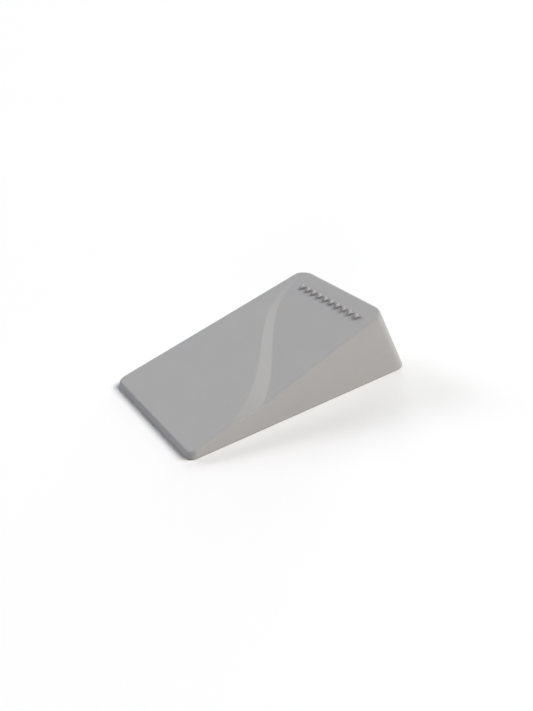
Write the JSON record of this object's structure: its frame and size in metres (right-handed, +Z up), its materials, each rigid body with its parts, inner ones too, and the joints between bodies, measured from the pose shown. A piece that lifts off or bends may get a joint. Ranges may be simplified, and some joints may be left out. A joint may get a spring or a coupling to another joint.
{
  "type": "door stop",
  "caption": "Rubber wedge door stop: a long ramp parted by an S-shaped step, a lower deck with a row of raised chevrons, and a pegged non-slip sole.",
  "frame": {"origin": "on the floor, at the centre of the wedge's footprint", "axes": "+X along the wedge from the thin nose to the high rear face, +Y to the left of someone looking along +X, +Z up"},
  "size_m": [0.12, 0.066, 0.0319],
  "materials": {
    "body_rubber": "matt, fine moulded grain",
    "sole_rubber": "matt, grooved tread"
  },
  "bodies": {
    "root": {"wedge_body": "body_rubber", "sole_pad": "sole_rubber", "raised_chevron_01": "body_rubber", "raised_chevron_02": "body_rubber", "raised_chevron_03": "body_rubber", "raised_chevron_04": "body_rubber", "raised_chevron_05": "body_rubber", "raised_chevron_06": "body_rubber", "raised_chevron_07": "body_rubber", "raised_chevron_08": "body_rubber", "raised_chevron_09": "body_rubber", "raised_chevron_10": "body_rubber"}
  },
  "joints": []
}
